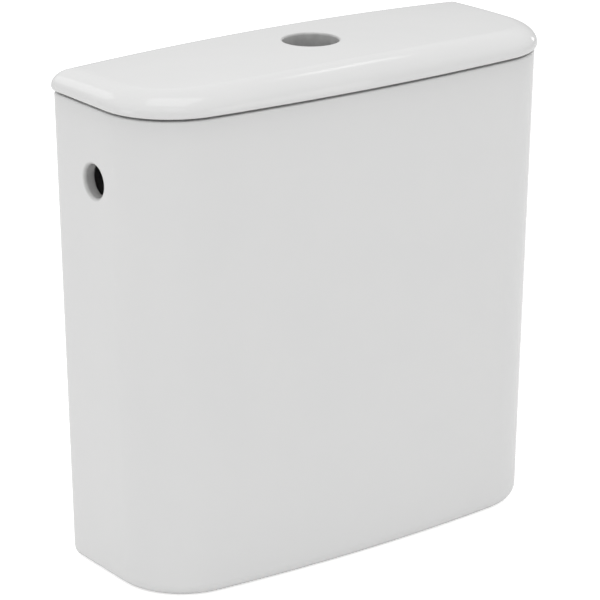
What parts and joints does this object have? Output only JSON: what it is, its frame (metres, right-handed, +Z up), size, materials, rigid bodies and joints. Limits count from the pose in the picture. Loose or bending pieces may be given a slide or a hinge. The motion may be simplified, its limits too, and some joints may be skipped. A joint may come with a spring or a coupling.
{
  "type": "toilet cistern",
  "caption": "Close-coupled ceramic toilet cistern with bowed front and crowned lid, push-button dual flush valve and side-entry float fill valve inside.",
  "frame": {"origin": "mid-width, on the wall plane behind the tank, at the height of the base", "axes": "+X to the right seen from the front, +Y into the wall, +Z up; the front faces -Y"},
  "size_m": [0.3879, 0.1399, 0.3765],
  "materials": {
    "glaze": "glossy white glaze",
    "soft_pad": "matt soft pad",
    "white_plastic": "moulded",
    "grey_plastic": "moulded",
    "blue_plastic": "moulded",
    "green_plastic": "moulded",
    "black_rubber": "matt",
    "foam_rubber": "open foam",
    "red_rubber": "smooth silicone",
    "steel": "zinc plated",
    "brass": "plain",
    "dark_plastic": "satin moulded"
  },
  "bodies": {
    "cistern": {"tank": "glaze", "lid_buffers": "soft_pad", "valve_base": "white_plastic", "base_washer": "black_rubber", "valve_backnut": "white_plastic", "coupling_gasket": "foam_rubber", "valve_cage": "grey_plastic", "tower_legs": "grey_plastic", "tower_bridge": "grey_plastic", "lever_pin": "steel", "button_housing": "grey_plastic", "button_collar": "dark_plastic", "full_button_spring": "steel", "half_button_spring": "steel", "tie_bolts": "brass", "tie_bolt_seals": "black_rubber", "tie_bolt_washers": "steel", "tie_bolt_nuts": "brass", "inlet_body": "white_plastic", "inlet_filter": "grey_plastic", "inlet_washer": "black_rubber", "inlet_backnut": "white_plastic", "diaphragm": "black_rubber", "head_cap": "blue_plastic", "float_lever_pin": "steel", "discharge_tube": "white_plastic"},
    "lid": {"lid": "glaze"},
    "full_button": {"full_flush_button": "dark_plastic", "full_push_rod": "blue_plastic"},
    "half_button": {"half_flush_button": "dark_plastic", "half_push_rod": "green_plastic"},
    "full_lever": {"full_flush_lever": "blue_plastic"},
    "half_lever": {"half_flush_lever": "green_plastic"},
    "valve_tube": {"overflow_tube": "white_plastic", "flush_seal": "red_rubber", "seal_retainer": "white_plastic"},
    "half_sleeve": {"half_flush_sleeve": "green_plastic", "sleeve_seals": "black_rubber"},
    "float": {"float_cup": "white_plastic", "float_rod": "steel", "float_adjuster": "blue_plastic"},
    "float_arm": {"float_lever": "grey_plastic"}
  },
  "joints": [
    {"name": "lid_lift", "type": "slide", "parent": "cistern", "child": "lid", "axis": [0, 0, 1], "range_m": [0, 0.12]},
    {"name": "tube_lift", "type": "slide", "parent": "cistern", "child": "valve_tube", "axis": [0, 0, 1], "range_m": [0, 0.015]},
    {"name": "full_button_press", "type": "slide", "parent": "cistern", "child": "full_button", "axis": [0, 0, -1], "range_m": [0, 0.006], "stiffness_N_per_m": 200, "springref_m": -0.004, "deforming": ["full_button_spring"]},
    {"name": "full_lever_rock", "type": "hinge", "parent": "cistern", "child": "full_lever", "pos_m": [0, -0.0644, 0.2889], "axis": [0, 1, 0], "range_deg": [0, 33]},
    {"name": "sleeve_lift", "type": "slide", "parent": "valve_tube", "child": "half_sleeve", "axis": [0, 0, 1], "range_m": [0, 0.015]},
    {"name": "half_button_press", "type": "slide", "parent": "cistern", "child": "half_button", "axis": [0, 0, -1], "range_m": [0, 0.006], "stiffness_N_per_m": 200, "springref_m": -0.004, "deforming": ["half_button_spring"]},
    {"name": "half_lever_rock", "type": "hinge", "parent": "cistern", "child": "half_lever", "pos_m": [0, -0.0644, 0.2889], "axis": [0, -1, 0], "range_deg": [0, 33]},
    {"name": "float_rise", "type": "slide", "parent": "cistern", "child": "float", "axis": [0, 0, 1], "range_m": [0, 0.0168]},
    {"name": "float_arm_swing", "type": "hinge", "parent": "cistern", "child": "float_arm", "pos_m": [0.0983, -0.058, 0.315], "axis": [0, -1, 0], "range_deg": [0, 18]}
  ],
  "couplings": [
    {"joint": "full_button_press", "follows": "tube_lift", "ratio": 0.4},
    {"joint": "full_lever_rock", "follows": "tube_lift", "rad_per_m": 38.39},
    {"joint": "half_button_press", "follows": "sleeve_lift", "ratio": 0.4},
    {"joint": "half_lever_rock", "follows": "sleeve_lift", "rad_per_m": 38.39},
    {"joint": "float_arm_swing", "follows": "float_rise", "rad_per_m": 18.69}
  ]
}
